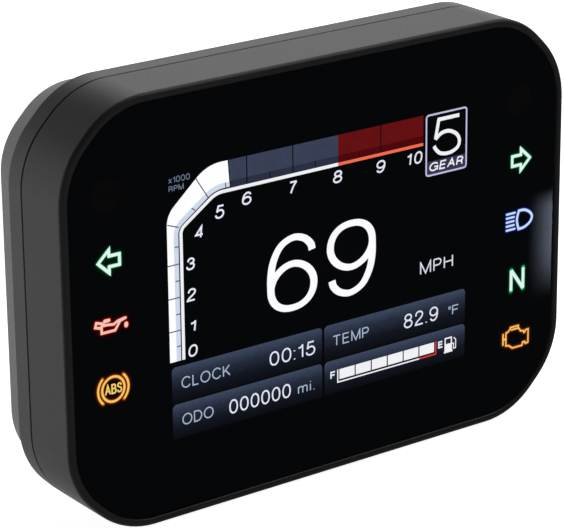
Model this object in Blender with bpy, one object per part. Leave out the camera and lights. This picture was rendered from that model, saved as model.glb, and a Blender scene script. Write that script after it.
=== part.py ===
"""Instrument cluster for a motorcycle: a 3.5 inch display and its tell-tales in a sealed plastic case.

Blender units are metres, +Z is up and the display faces -Y. The origin is the centre of the
rear mounting face. Sizes below are in millimetres, and a depth is measured straight back
from the front ridge of the bezel.
"""

import math

import bmesh
import bpy
from mathutils import Vector

MM = 0.001
GAP = 0.3  # clearance between pieces that touch on the real object
CIRCLE = 16  # points round a hole, a boss, a button or an insert
SCREW_CIRCLE = 12

# Case outline: a rectangle whose corners are cut at 45 degrees and blended
HALF_WIDTH, HALF_HEIGHT = 58.85, 42.0
CORNER_CUT, CORNER_BLEND = 11.6, 16.9
CORNER_STEPS = 3
CUT_PER_INSET = 2 - math.sqrt(2)

# Depths of the case
LENS_FRONT, LENS_BACK = 0.4, 2.4
LEDGE_FRONT, LEDGE_BACK = 3.5, 5.0
PARTING = 13.0
BAND_BACK = 17.9
CASE_BACK = 26.5
MOUNT_FACE = 28.5

# Walls of the case, as insets from its outline
LIP_RADIUS, LIP_WIDTH = 0.9, 1.6
LENS_INSET = 1.75
LEDGE_INSET = 5.35
BEZEL_WALL = 2.0
STEP_INSET, STEP_TAPER = 0.7, math.radians(18)
CASE_WALL = 2.2
CAVITY_INSET = 5.1
TONGUE_INSET, TONGUE_THICK, TONGUE_FRONT = 2.3, 1.4, 10.0
SEAL_INSET, SEAL_FRONT = 1.0, 11.6

# Display: 3.5 inch module, a little below the middle of the case
DISPLAY_DROP = 0.75
MODULE_HALF = (38.45, 31.95)
MODULE_FRONT, MODULE_BACK = 3.5, 6.7
MODULE_WALL, MODULE_CORNER = 0.4, 1.0

# Tell-tales: two columns at one pitch, and a shift light above each
COLUMN_X = 48.4
ROW_TOP, ROW_PITCH = 11.7, 12.55
SHIFT_Z, SHIFT_RADIUS = 24.15, 3.2
WELL_HALF = (4.2, 3.05)

# Inner frame and board
CARRIER_INSET, FLANGE_INSET = 5.75, 2.6
CARRIER_FRONT = 3.2
CARRIER_BACK = 12.7
BOARD_FRONT, BOARD_BACK = 13.0, 14.6
BOARD_INSET = 6.05
ON_BOARD = BOARD_BACK + GAP
LED_SIZE = (3.5, 0.7, 2.8)

# Fasteners
CASE_SCREW_AT = (45.8, 32.6)
BOARD_SCREW_AT = (41.4, 24.5)
INSERT_AT = (25.0, 13.0)
INSERT_RADIUS, INSERT_BORE, INSERT_LENGTH = 3.1, 2.1, 7.0
SCREW_SEAT = 16.0
PAD_HALF, PAD_CORNER = (32.0, 19.0), 4.0

# Rear controls and the connector
BUTTON_AT = (42.0, -13.0)
BUTTON_RADIUS, BUTTON_BACK = 4.2, 28.9
SWITCH_BACK = 18.4
VENT_AT, VENT_STEM = (-42.0, 13.0), 2.2
HEADER_Z = -28.2
HEADER_HALF, HEADER_CORNER = (15.0, 6.0), 1.5
HEADER_BACK = 36.0
SOCKET_HALF = (13.2, 4.2)
SOCKET_FLOOR = 23.5
PIN_TIP = 30.9

MATERIALS = {
    "bezel_plastic": ((0.016, 0.016, 0.017), 0.55, 0.0),
    "rear_plastic": ((0.020, 0.020, 0.021), 0.6, 0.0),
    "lens_plastic": ((0.002, 0.002, 0.003), 0.06, 0.0),
    "foam": ((0.03, 0.03, 0.03), 0.95, 0.0),
    "film": ((0.08, 0.08, 0.09), 0.4, 0.0),
    "white_plastic": ((0.75, 0.75, 0.73), 0.5, 0.0),
    "panel_glass": ((0.02, 0.02, 0.03), 0.05, 0.0),
    "clear_acrylic": ((0.85, 0.9, 0.92), 0.1, 0.0),
    "pressed_steel": ((0.6, 0.6, 0.6), 0.35, 1.0),
    "ribbon": ((0.55, 0.28, 0.05), 0.4, 0.0),
    "board": ((0.01, 0.12, 0.04), 0.45, 0.0),
    "led": ((0.85, 0.83, 0.7), 0.3, 0.0),
    "chip": ((0.015, 0.015, 0.016), 0.6, 0.0),
    "capacitor_can": ((0.7, 0.7, 0.72), 0.3, 1.0),
    "silicone": ((0.02, 0.02, 0.02), 0.85, 0.0),
    "zinc_steel": ((0.62, 0.62, 0.6), 0.35, 1.0),
    "brass": ((0.78, 0.57, 0.25), 0.3, 1.0),
    "header_plastic": ((0.012, 0.012, 0.013), 0.5, 0.0),
    "contact": ((0.75, 0.72, 0.65), 0.25, 1.0),
    "button_rubber": ((0.025, 0.025, 0.026), 0.8, 0.0),
    "switch_body": ((0.03, 0.03, 0.03), 0.5, 0.0),
    "vent_plastic": ((0.03, 0.03, 0.032), 0.6, 0.0),
}


# Points and loops ---------------------------------------------------------------------------


def at(x, depth, z):
    """A place in millimetres, with its depth behind the front ridge, as a Blender point."""
    return Vector((x * MM, (depth - MOUNT_FACE) * MM, z * MM))


def cut_outline(half_w, half_h, cut, blend, steps):
    """(x, z) points round a rectangle whose corners are cut at 45 degrees, then blended."""
    tangent = blend * math.tan(math.pi / 8)
    corner = []
    for centre, start in (((-blend, -cut - tangent), 0.0), ((-cut - tangent, -blend), math.pi / 4)):
        for i in range(steps + 1):
            angle = start + i / steps * math.pi / 4
            corner.append((centre[0] + blend * math.cos(angle), centre[1] + blend * math.sin(angle)))
    if math.dist(corner[steps], corner[steps + 1]) < 0.01:
        corner.pop(steps)
    points = []
    for side_x, side_z in ((1, 1), (-1, 1), (-1, -1), (1, -1)):
        turn = corner if side_x * side_z > 0 else corner[::-1]
        points += [(side_x * (half_w + x), side_z * (half_h + z)) for x, z in turn]
    return points


def case_outline(inset):
    """The case's outline, moved inwards by the same distance all the way round."""
    return cut_outline(
        HALF_WIDTH - inset,
        HALF_HEIGHT - inset,
        CORNER_CUT - CUT_PER_INSET * inset,
        CORNER_BLEND - inset,
        CORNER_STEPS,
    )


def round_outline(half_w, half_h, radius, steps=1):
    """A rectangle with round corners: the cut is exactly as long as its two blends."""
    return cut_outline(half_w, half_h, CUT_PER_INSET * radius, radius, steps)


def circle_outline(radius, count=CIRCLE):
    turns = [2 * math.pi * i / count for i in range(count)]
    return [(radius * math.cos(t), radius * math.sin(t)) for t in turns]


def hexagon_outline(across_flats, count):
    """Points on a hexagon, as many as a circle has, so that a socket joins a round head."""
    points = []
    for i in range(count):
        turn = 2 * math.pi * i / count
        from_flat = (turn + math.pi / 6) % (math.pi / 3) - math.pi / 6
        reach = across_flats / 2 / math.cos(from_flat)
        points.append((reach * math.cos(turn), reach * math.sin(turn)))
    return points


def loop(outline, depth, centre=(0.0, 0.0)):
    return [at(centre[0] + x, depth, centre[1] + z) for x, z in outline]


def arc(inset, depth, radius, start, end, steps=3):
    """(inset, depth) points of a rounded edge in the case's section, angles in degrees."""
    turns = [math.radians(start + (end - start) * i / steps) for i in range(steps + 1)]
    return [(inset + radius * math.cos(t), depth + radius * math.sin(t)) for t in turns]


# Solids -------------------------------------------------------------------------------------


def material_named(name):
    if name in bpy.data.materials:
        return bpy.data.materials[name]
    colour, roughness, metallic = MATERIALS[name]
    made = bpy.data.materials.new(name)
    made.use_nodes = True
    shader = made.node_tree.nodes["Principled BSDF"]
    shader.inputs["Base Color"].default_value = (*colour, 1)
    shader.inputs["Roughness"].default_value = roughness
    shader.inputs["Metallic"].default_value = metallic
    made.diffuse_color = (*colour, 1)
    return made


def solid(name, mesh, material, origin=None):
    """Turns a bmesh into an object, with its origin where its joint or its centre is."""
    bmesh.ops.recalc_face_normals(mesh, faces=mesh.faces)
    origin = origin or Vector((0, 0, 0))
    bmesh.ops.translate(mesh, verts=mesh.verts, vec=-origin)
    data = bpy.data.meshes.new(name)
    mesh.to_mesh(data)
    mesh.free()
    data.shade_smooth()
    data.set_sharp_from_angle(angle=math.radians(35))
    data.materials.append(material_named(material))
    made = bpy.data.objects.new(name, data)
    made.location = origin
    bpy.context.scene.collection.objects.link(made)
    return made


def loft(name, loops, material, closed=False, origin=None):
    """A solid skinned over loops of points. A closed one is a ring, an open one has end caps."""
    mesh = bmesh.new()
    rings = [[mesh.verts.new(point) for point in points] for points in loops]
    for first, second in zip(rings, rings[1:] + rings[:1] if closed else rings[1:]):
        for i in range(len(first)):
            j = (i + 1) % len(first)
            mesh.faces.new((first[i], first[j], second[j], second[i]))
    if not closed:
        mesh.faces.new(rings[0])
        mesh.faces.new(reversed(rings[-1]))
    return solid(name, mesh, material, origin)


def turned(name, profile, centre, material, closed=False, origin=None):
    """A round solid along Y from (radius, depth) pairs."""
    loops = [loop(circle_outline(radius), depth, centre) for radius, depth in profile]
    return loft(name, loops, material, closed, origin)


def plate(name, outline, front, back, material, centre=(0.0, 0.0)):
    loops = [loop(outline, depth, centre) for depth in (front, back)]
    return loft(name, loops, material)


def block(name, low, high, material):
    """A box between two (x, depth, z) corners."""
    middle = [(a + b) / 2 for a, b in zip(low, high)]
    half = [(b - a) / 2 for a, b in zip(low, high)]
    outline = [(half[0], half[2]), (-half[0], half[2]), (-half[0], -half[2]), (half[0], -half[2])]
    return plate(name, outline, low[1], high[1], material, (middle[0], middle[2]))


def helper(made):
    made.hide_render = True
    made.display_type = "WIRE"
    return made


def combine(target, other, operation):
    """Joins a helper solid to the target, or cuts it away."""
    helper(other)
    modifier = target.modifiers.new(other.name, "BOOLEAN")
    modifier.operation = operation
    modifier.object = other
    modifier.solver = "EXACT"


def join(target, *others):
    for other in others:
        combine(target, other, "UNION")


def cut(target, *others):
    for other in others:
        combine(target, other, "DIFFERENCE")


def four_corners(place):
    """The four places mirrored left to right and top to bottom, with a name for each."""
    for side_z, level in ((1, "upper"), (-1, "lower")):
        for side_x, side in ((-1, "left"), (1, "right")):
            yield f"{level}_{side}", (side_x * place[0], side_z * place[1])


# Case ---------------------------------------------------------------------------------------


def make_bezel():
    lip = arc(LIP_RADIUS, LIP_RADIUS, LIP_RADIUS, 180, 270)
    inner_edge = arc(LIP_WIDTH - GAP, GAP, GAP, 270, 360, steps=2)
    section = lip + inner_edge
    section += [(LIP_WIDTH, LEDGE_FRONT), (LEDGE_INSET, LEDGE_FRONT), (LEDGE_INSET, LEDGE_BACK)]
    section += [(BEZEL_WALL, LEDGE_BACK), (BEZEL_WALL, SEAL_FRONT), (SEAL_INSET, SEAL_FRONT)]
    section += [(SEAL_INSET, PARTING), (0.0, PARTING)]
    loops = [loop(case_outline(inset), depth) for inset, depth in section]
    bezel = loft("front_bezel", loops, "bezel_plastic", closed=True)
    boss_radius, pilot_radius, pilot_front = 2.6, 1.55, 7.2
    ledge_middle = (LEDGE_FRONT + LEDGE_BACK) / 2
    for where, centre in four_corners(CASE_SCREW_AT):
        boss = circle_outline(boss_radius)
        join(bezel, plate(f"bezel_boss_{where}", boss, ledge_middle, PARTING, "bezel_plastic", centre))
        pilot = circle_outline(pilot_radius)
        cut(bezel, plate(f"bezel_pilot_{where}", pilot, pilot_front, PARTING + 1, "bezel_plastic", centre))


def make_lens():
    edge = 0.25
    section = [(LENS_INSET + edge, LENS_FRONT), (LENS_INSET, LENS_FRONT + edge), (LENS_INSET, LENS_BACK)]
    loops = [loop(case_outline(inset), depth) for inset, depth in section]
    loft("front_lens", loops, "lens_plastic")


def frame_ring(name, insets, depths, material):
    """A flat ring that follows the case's outline."""
    corners = [(insets[0], depths[0]), (insets[1], depths[0]), (insets[1], depths[1]), (insets[0], depths[1])]
    loft(name, [loop(case_outline(inset), depth) for inset, depth in corners], material, closed=True)


def make_seals():
    gasket_depths = (LENS_BACK + GAP, LEDGE_FRONT - GAP)
    frame_ring("lens_gasket", (LENS_INSET + 0.4, LEDGE_INSET - 0.2), gasket_depths, "foam")
    frame_ring("case_seal", (SEAL_INSET + GAP, BEZEL_WALL), (SEAL_FRONT + GAP, PARTING), "silicone")


def make_rear_housing():
    seam = PARTING + GAP
    band_edge, back_edge = 0.5, 1.6
    tongue_inner = TONGUE_INSET + TONGUE_THICK
    cavity_back = CASE_BACK - CASE_WALL
    section = [(CAVITY_INSET, cavity_back), (CAVITY_INSET, seam)]
    section += [(tongue_inner, seam), (tongue_inner, TONGUE_FRONT), (TONGUE_INSET, TONGUE_FRONT)]
    section += [(TONGUE_INSET, seam), (0.0, seam)]
    section += arc(band_edge, BAND_BACK - band_edge, band_edge, 180, 90, steps=3)
    section += [(STEP_INSET, BAND_BACK)]
    turn_depth = CASE_BACK - back_edge
    taper_run = turn_depth + back_edge * math.sin(STEP_TAPER) - BAND_BACK
    turn_inset = STEP_INSET + taper_run * math.tan(STEP_TAPER) + back_edge * math.cos(STEP_TAPER)
    section += arc(turn_inset, turn_depth, back_edge, 180 - math.degrees(STEP_TAPER), 90)
    loops = [loop(case_outline(inset), depth) for inset, depth in section]
    housing = loft("rear_housing", loops, "rear_plastic")
    material = "rear_plastic"
    inside = cavity_back + 1

    pad = round_outline(*PAD_HALF, PAD_CORNER, steps=3)
    join(housing, plate("mounting_pad", pad, CASE_BACK - 1, MOUNT_FACE, material))
    boss_radius, boss_front = 5.0, 19.9
    hole_radius, floor = INSERT_RADIUS + GAP, 1.2
    for where, centre in four_corners(INSERT_AT):
        boss = circle_outline(boss_radius)
        join(housing, plate(f"insert_boss_{where}", boss, boss_front, inside, material, centre))
        hole = circle_outline(hole_radius)
        hole_front = boss_front + floor
        cut(housing, plate(f"insert_hole_{where}", hole, hole_front, MOUNT_FACE + 1, material, centre))

    post_radius, counterbore, shank_hole = 3.7, 2.8, 1.55
    for where, centre in four_corners(CASE_SCREW_AT):
        post = circle_outline(post_radius)
        join(housing, plate(f"screw_post_{where}", post, seam, inside, material, centre))
        shank = circle_outline(shank_hole)
        cut(housing, plate(f"shank_hole_{where}", shank, seam - 1, SCREW_SEAT + 1, material, centre))
        recess = circle_outline(counterbore)
        cut(housing, plate(f"screw_recess_{where}", recess, SCREW_SEAT, CASE_BACK + 1, material, centre))

    sleeve_radius, sleeve_front, button_hole = 6.0, 23.1, BUTTON_RADIUS + GAP
    for side in (-1, 1):
        centre = (side * BUTTON_AT[0], BUTTON_AT[1])
        sleeve = circle_outline(sleeve_radius)
        join(housing, plate(f"button_sleeve_{side}", sleeve, sleeve_front, inside, material, centre))
        hole = circle_outline(button_hole)
        cut(housing, plate(f"button_hole_{side}", hole, sleeve_front - 1, CASE_BACK + 1, material, centre))
    vent_hole = circle_outline(VENT_STEM + GAP)
    cut(housing, plate("vent_hole", vent_hole, cavity_back - 1, CASE_BACK + 1, material, VENT_AT))
    window = round_outline(HEADER_HALF[0] + GAP, HEADER_HALF[1] + GAP, HEADER_CORNER)
    cut(housing, plate("header_window", window, cavity_back - 1, CASE_BACK + 1, material, (0, HEADER_Z)))


# Display and tell-tales ---------------------------------------------------------------------


def make_display():
    centre = (0.0, -DISPLAY_DROP)
    half_w, half_h = MODULE_HALF
    inner = (half_w - MODULE_WALL, half_h - MODULE_WALL)
    glass = (inner[0] - GAP, inner[1] - GAP)
    glass_corner = MODULE_CORNER - MODULE_WALL
    cell_back, guide_back = 4.6, 6.0
    plate("lcd_cell", round_outline(*glass, glass_corner), MODULE_FRONT, cell_back, "panel_glass", centre)
    guide_front = cell_back + GAP
    guide = round_outline(*glass, glass_corner)
    plate("lcd_light_guide", guide, guide_front, guide_back, "clear_acrylic", centre)
    outer_loop = round_outline(half_w, half_h, MODULE_CORNER)
    inner_loop = round_outline(*inner, glass_corner)
    tray = [(inner_loop, guide_back + GAP), (inner_loop, MODULE_FRONT)]
    tray += [(outer_loop, MODULE_FRONT), (outer_loop, MODULE_BACK)]
    loft("lcd_frame", [loop(points, depth, centre) for points, depth in tray], "pressed_steel")


def make_flex():
    """The ribbon leaves the bottom of the module, turns a round corner and runs up to its socket."""
    drop, bend, back_run = -33.65, 1.2, 10.6
    start, end, socket_top, socket_front = 3.8, -25.2, -20.5, 10.0
    half_width, thick, wider = 15.0, 0.2, 1.0
    turns = [math.radians(90 * i / 5) for i in range(6)]
    path = [(drop, start)]
    path += [(drop + bend * (1 - math.cos(t)), back_run - bend + bend * math.sin(t)) for t in turns]
    path += [(end, back_run)]
    normals = [(1.0, 0.0)] + [(math.cos(t), -math.sin(t)) for t in turns] + [(0.0, -1.0)]
    loops = []
    for (z, depth), (normal_z, normal_depth) in zip(path, normals):
        inner_z, inner_depth = z + thick * normal_z, depth + thick * normal_depth
        outer = [at(x, depth, z) for x in (-half_width, half_width)]
        inner = [at(x, inner_depth, inner_z) for x in (half_width, -half_width)]
        loops.append(outer + inner)
    loft("lcd_flex", loops, "ribbon")
    low = (-half_width - wider, socket_front, end + GAP)
    high = (half_width + wider, CARRIER_BACK, socket_top)
    block("flex_connector", low, high, "header_plastic")


def telltale_places():
    """(name, centre) of each light: rows count down from the turn signals."""
    rows = {
        -1: ("turn_left", "oil_pressure", "abs"),
        1: ("turn_right", "high_beam", "neutral", "engine_check"),
    }
    for side, names in rows.items():
        for row, name in enumerate(names):
            yield name, (side * COLUMN_X, ROW_TOP - row * ROW_PITCH)
    yield "shift_left", (-COLUMN_X, SHIFT_Z)
    yield "shift_right", (COLUMN_X, SHIFT_Z)


def make_lights():
    half = [size / 2 for size in LED_SIZE]
    back = BOARD_FRONT - GAP
    for name, (x, z) in telltale_places():
        low = (x - half[0], back - LED_SIZE[1], z - half[2])
        high = (x + half[0], back, z + half[2])
        block(f"led_{name}", low, high, "led")
    film_front, film_back = LENS_BACK + GAP, CARRIER_FRONT - GAP
    film_top = SHIFT_Z + SHIFT_RADIUS
    for side, name, rows in ((-1, "left", 3), (1, "right", 4)):
        film_bottom = ROW_TOP - (rows - 1) * ROW_PITCH - WELL_HALF[1]
        half_film = (WELL_HALF[0], (film_top - film_bottom) / 2)
        centre = (side * COLUMN_X, (film_top + film_bottom) / 2)
        plate(f"telltale_film_{name}", round_outline(*half_film, 1.0), film_front, film_back, "film", centre)


def make_carrier():
    """Inner frame: display pocket in front, board space behind, and a well for each light."""
    flange_front, flange_back = LEDGE_BACK + GAP, LEDGE_BACK + GAP + 1.5
    pocket_back, floor_back = MODULE_BACK + GAP, MODULE_BACK + GAP + 1.2
    section = [(CARRIER_INSET, CARRIER_FRONT), (CARRIER_INSET, flange_front), (FLANGE_INSET, flange_front)]
    section += [(FLANGE_INSET, flange_back), (CARRIER_INSET, flange_back), (CARRIER_INSET, CARRIER_BACK)]
    loops = [loop(case_outline(inset), depth) for inset, depth in section]
    carrier = loft("display_carrier", loops, "white_plastic")
    centre = (0.0, -DISPLAY_DROP)
    material = "white_plastic"
    pocket = round_outline(MODULE_HALF[0] + GAP, MODULE_HALF[1] + GAP, MODULE_CORNER + GAP)
    cut(carrier, plate("module_pocket", pocket, CARRIER_FRONT - 1, pocket_back, material, centre))
    shelf, space_corner = 0.5, 3.0
    space = round_outline(MODULE_HALF[0] - shelf, MODULE_HALF[1] - shelf, space_corner)
    cut(carrier, plate("board_space", space, floor_back, CARRIER_BACK + 1, material, centre))
    slot_low, slot_high = (-16.0, MODULE_FRONT, -34.2), (16.0, CARRIER_BACK + 1, -31.5)
    cut(carrier, block("flex_slot", slot_low, slot_high, material))
    for name, place in telltale_places():
        outline = circle_outline(SHIFT_RADIUS) if name.startswith("shift") else round_outline(*WELL_HALF, 0.8)
        cut(carrier, plate(f"well_{name}", outline, CARRIER_FRONT - 1, CARRIER_BACK + 1, material, place))
    boss_clearance, pilot_radius, pilot_front = 3.0, 1.4, 8.0
    for where, place in four_corners(CASE_SCREW_AT):
        clear = circle_outline(boss_clearance)
        front, back = CARRIER_FRONT - 1, CARRIER_BACK + 1
        cut(carrier, plate(f"boss_clearance_{where}", clear, front, back, material, place))
    for where, place in four_corners(BOARD_SCREW_AT):
        pilot = circle_outline(pilot_radius)
        cut(carrier, plate(f"carrier_pilot_{where}", pilot, pilot_front, CARRIER_BACK + 1, material, place))


# Board --------------------------------------------------------------------------------------


def make_board():
    board = plate("main_board", case_outline(BOARD_INSET), BOARD_FRONT, BOARD_BACK, "board")
    post_clearance, hole_radius = 4.1, 1.4
    for where, place in four_corners(CASE_SCREW_AT):
        notch = circle_outline(post_clearance)
        cut(board, plate(f"post_notch_{where}", notch, BOARD_FRONT - 1, BOARD_BACK + 1, "board", place))
    for where, place in four_corners(BOARD_SCREW_AT):
        hole = circle_outline(hole_radius)
        cut(board, plate(f"board_hole_{where}", hole, BOARD_FRONT - 1, BOARD_BACK + 1, "board", place))
    chips = (
        ("microcontroller", (-9.0, 4.0), (14.0, 1.4, 14.0)),
        ("flash_memory", (8.0, 6.0), (8.0, 1.2, 6.0)),
        ("bus_transceiver", (16.0, -12.0), (5.0, 1.5, 6.0)),
        ("voltage_regulator", (-14.0, -13.0), (6.6, 2.3, 6.2)),
        ("power_inductor", (35.0, 24.0), (7.0, 4.0, 7.0)),
    )
    for name, (x, z), (width, height, length) in chips:
        low = (x - width / 2, ON_BOARD, z - length / 2)
        high = (x + width / 2, ON_BOARD + height, z + length / 2)
        block(name, low, high, "chip")
    can = [(4.0, ON_BOARD), (4.0, ON_BOARD + 1.0), (3.7, ON_BOARD + 1.4), (4.0, ON_BOARD + 1.8)]
    can += [(4.0, ON_BOARD + 5.9), (3.6, ON_BOARD + 6.3)]
    turned("supply_capacitor", can, (-35.0, 24.0), "capacitor_can")


def make_screw(name, centre, seat, head, shank, length, socket):
    """A socket screw whose head stands back from its seat: (radius, height) of the head first."""
    head_radius, head_height = head
    back = seat + head_height
    sunk = seat + head_height * 0.4
    loops = [loop(hexagon_outline(socket, SCREW_CIRCLE), depth, centre) for depth in (sunk, back)]
    profile = [(head_radius - 0.25, back), (head_radius, back - 0.25), (head_radius, seat)]
    profile += [(shank, seat), (shank, seat - length + 0.5), (shank - 0.4, seat - length)]
    loops += [loop(circle_outline(radius, SCREW_CIRCLE), depth, centre) for radius, depth in profile]
    loft(name, loops, "zinc_steel")


def make_fasteners():
    for where, centre in four_corners(CASE_SCREW_AT):
        make_screw(f"case_screw_{where}", centre, SCREW_SEAT + GAP, (2.4, 1.8), 1.25, 8.0, 2.0)
    for where, centre in four_corners(BOARD_SCREW_AT):
        make_screw(f"board_screw_{where}", centre, ON_BOARD, (2.1, 1.4), 1.1, 6.0, 1.5)
    back = MOUNT_FACE - 0.1
    groove, half_groove = 0.35, 0.5
    middle = back - INSERT_LENGTH / 2
    profile = [(INSERT_BORE, back), (INSERT_RADIUS, back), (INSERT_RADIUS, middle + half_groove)]
    waist = INSERT_RADIUS - groove
    profile += [(waist, middle + half_groove), (waist, middle - half_groove)]
    profile += [(INSERT_RADIUS, middle - half_groove), (INSERT_RADIUS, back - INSERT_LENGTH)]
    profile += [(INSERT_BORE, back - INSERT_LENGTH)]
    for where, centre in four_corners(INSERT_AT):
        turned(f"mounting_insert_{where}", profile, centre, "brass", closed=True)


# Rear controls and connector ----------------------------------------------------------------


def make_button(name, centre):
    """Button, its sealing ring, and the switch that it presses. The first two and the stem travel."""
    origin = at(centre[0], BUTTON_BACK, centre[1])
    flange_front, flange_back, flange_radius = 20.4, 21.9, 5.4
    groove_low, groove_high, groove_radius = 24.1, 25.5, 3.3
    foot_radius, edge = 2.6, 0.6
    profile = [(foot_radius, flange_front), (flange_radius, flange_front), (flange_radius, flange_back)]
    profile += [(BUTTON_RADIUS, flange_back), (BUTTON_RADIUS, groove_low), (groove_radius, groove_low)]
    profile += [(groove_radius, groove_high), (BUTTON_RADIUS, groove_high)]
    profile += [(BUTTON_RADIUS, BUTTON_BACK - edge)]
    profile += [(BUTTON_RADIUS - edge * 0.3, BUTTON_BACK - edge * 0.3), (BUTTON_RADIUS - edge, BUTTON_BACK)]
    profile += [(BUTTON_RADIUS - 1.2, BUTTON_BACK), (BUTTON_RADIUS - 1.9, BUTTON_BACK - 0.35)]
    turned(f"{name}_button", profile, centre, "button_rubber", origin=origin)

    ring_radius = 0.4
    ring_from_axis, ring_depth = groove_radius + 0.1 + ring_radius, (groove_low + groove_high) / 2
    section = [(ring_from_axis + x, ring_depth + z) for x, z in circle_outline(ring_radius, 6)]
    turned(f"{name}_button_seal", section, centre, "silicone", closed=True, origin=origin)

    stem_radius, stem_front, collar_back, collar_radius = 1.7, 16.4, 17.2, 2.2
    stem = [(collar_radius, stem_front), (collar_radius, collar_back), (stem_radius, collar_back)]
    stem += [(stem_radius, flange_front - GAP)]
    turned(f"{name}_switch_stem", stem, centre, "white_plastic", origin=origin)

    half, well_front, well_back = 3.0, ON_BOARD + 0.4, collar_back + GAP
    low = (centre[0] - half, ON_BOARD, centre[1] - half)
    high = (centre[0] + half, SWITCH_BACK, centre[1] + half)
    body = block(f"{name}_switch", low, high, "switch_body")
    well = circle_outline(collar_radius + GAP)
    cut(body, plate(f"{name}_switch_well", well, well_front, well_back, "switch_body", centre))
    guide = circle_outline(stem_radius + GAP)
    cut(body, plate(f"{name}_switch_guide", guide, well_back - 0.5, SWITCH_BACK + 1, "switch_body", centre))


def make_header():
    """Sealed plug-in header: base on the board, flange behind the panel, shroud out at the back."""
    centre = (0.0, HEADER_Z)
    flange_front, flange_back, flange_half = 21.5, 22.9, (17.5, 7.9)
    body, flange = round_outline(*HEADER_HALF, HEADER_CORNER), round_outline(*flange_half, 1.8)
    section = [(body, ON_BOARD), (body, flange_front), (flange, flange_front), (flange, flange_back)]
    section += [(body, flange_back), (body, HEADER_BACK)]
    loops = [loop(points, depth, centre) for points, depth in section]
    header = loft("connector_header", loops, "header_plastic")
    top = HEADER_Z + HEADER_HALF[1]
    join(header, block("latch_ramp", (-3.5, 30.5, top - 0.5), (3.5, 33.0, top + 1.3), "header_plastic"))
    socket = round_outline(*SOCKET_HALF, 0.8)
    cut(header, plate("header_socket", socket, SOCKET_FLOOR, HEADER_BACK + 1, "header_plastic", centre))

    pitch_x, pitch_z, half_pin = 6.0, 4.0, 0.5
    for row in range(2):
        for column in range(4):
            number = row * 4 + column + 1
            x = (column - 1.5) * pitch_x
            z = HEADER_Z + (0.5 - row) * pitch_z
            wide = half_pin + GAP
            low, high = (x - wide, ON_BOARD - 1, z - wide), (x + wide, SOCKET_FLOOR + 1, z + wide)
            cut(header, block(f"pin_hole_{number}", low, high, "header_plastic"))
            square = [(a * half_pin, b * half_pin) for a, b in ((1, 1), (-1, 1), (-1, -1), (1, -1))]
            tip = [(a * 0.5, b * 0.5) for a, b in square]
            ends = [(square, ON_BOARD), (square, PIN_TIP - 0.8), (tip, PIN_TIP)]
            loops = [loop(points, depth, (x, z)) for points, depth in ends]
            loft(f"connector_pin_{number}", loops, "contact")

    outer = round_outline(flange_half[0] - GAP, flange_half[1] - GAP, HEADER_CORNER)
    inner = round_outline(HEADER_HALF[0] + 2 * GAP, HEADER_HALF[1] + 2 * GAP, HEADER_CORNER)
    front, back = flange_back + GAP, CASE_BACK - CASE_WALL - GAP
    ring = [(inner, front), (outer, front), (outer, back), (inner, back)]
    loops = [loop(points, depth, centre) for points, depth in ring]
    loft("connector_seal", loops, "silicone", closed=True)


def make_vent():
    stem_front, cap_radius, cap_front, cap_back = 23.5, 4.5, CASE_BACK + GAP, 28.1
    profile = [(VENT_STEM, stem_front), (VENT_STEM, cap_front), (cap_radius, cap_front)]
    profile += [(cap_radius, cap_back - 0.4), (cap_radius - 0.4, cap_back)]
    turned("breather_vent", profile, VENT_AT, "vent_plastic")


def main():
    for old in list(bpy.data.objects):
        bpy.data.objects.remove(old, do_unlink=True)
    make_bezel()
    make_lens()
    make_seals()
    make_rear_housing()
    make_display()
    make_flex()
    make_lights()
    make_carrier()
    make_board()
    make_fasteners()
    make_button("select", (-BUTTON_AT[0], BUTTON_AT[1]))
    make_button("adjust", BUTTON_AT)
    make_header()
    make_vent()


main()
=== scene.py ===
"""Looks of the motorcycle instrument cluster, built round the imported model.

Sizes are in millimetres. A depth is measured straight back from the front ridge of the bezel,
and (x, z) are measured from the middle of the case, seen from the rider's side.
"""

import math

import bmesh
import bpy
from mathutils import Matrix, Vector, geometry


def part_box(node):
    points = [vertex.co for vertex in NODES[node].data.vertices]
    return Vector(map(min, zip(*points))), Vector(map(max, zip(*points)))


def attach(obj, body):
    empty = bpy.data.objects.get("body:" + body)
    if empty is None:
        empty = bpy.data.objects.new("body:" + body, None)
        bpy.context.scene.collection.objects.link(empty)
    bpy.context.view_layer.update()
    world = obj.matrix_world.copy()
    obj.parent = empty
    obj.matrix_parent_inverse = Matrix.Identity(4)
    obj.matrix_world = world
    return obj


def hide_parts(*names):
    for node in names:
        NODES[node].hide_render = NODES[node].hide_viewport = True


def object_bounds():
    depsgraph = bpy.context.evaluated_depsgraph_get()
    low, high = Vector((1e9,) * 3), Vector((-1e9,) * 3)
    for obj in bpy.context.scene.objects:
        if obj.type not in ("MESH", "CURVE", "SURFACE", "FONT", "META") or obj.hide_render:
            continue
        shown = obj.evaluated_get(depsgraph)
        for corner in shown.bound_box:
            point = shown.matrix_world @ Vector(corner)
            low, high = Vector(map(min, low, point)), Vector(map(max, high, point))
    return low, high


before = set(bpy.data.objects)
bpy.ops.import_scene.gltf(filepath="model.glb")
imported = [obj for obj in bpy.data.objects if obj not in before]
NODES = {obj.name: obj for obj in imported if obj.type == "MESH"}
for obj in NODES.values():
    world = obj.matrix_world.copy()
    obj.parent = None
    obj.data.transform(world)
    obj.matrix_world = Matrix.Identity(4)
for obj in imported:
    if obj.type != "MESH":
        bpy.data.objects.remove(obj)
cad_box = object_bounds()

MM = 0.001
CASE = "cluster_case"

# Sizes taken from the frame

FRONT_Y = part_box("front_bezel")[0][1]


def corners_mm(node):
    """Lowest and highest corner of a CAD node as (x, depth, z), in millimetres."""
    return tuple((c[0] / MM, (c[1] - FRONT_Y) / MM, c[2] / MM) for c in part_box(node))


def centre_mm(node):
    low, high = corners_mm(node)
    return (low[0] + high[0]) / 2, (low[2] + high[2]) / 2


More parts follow.
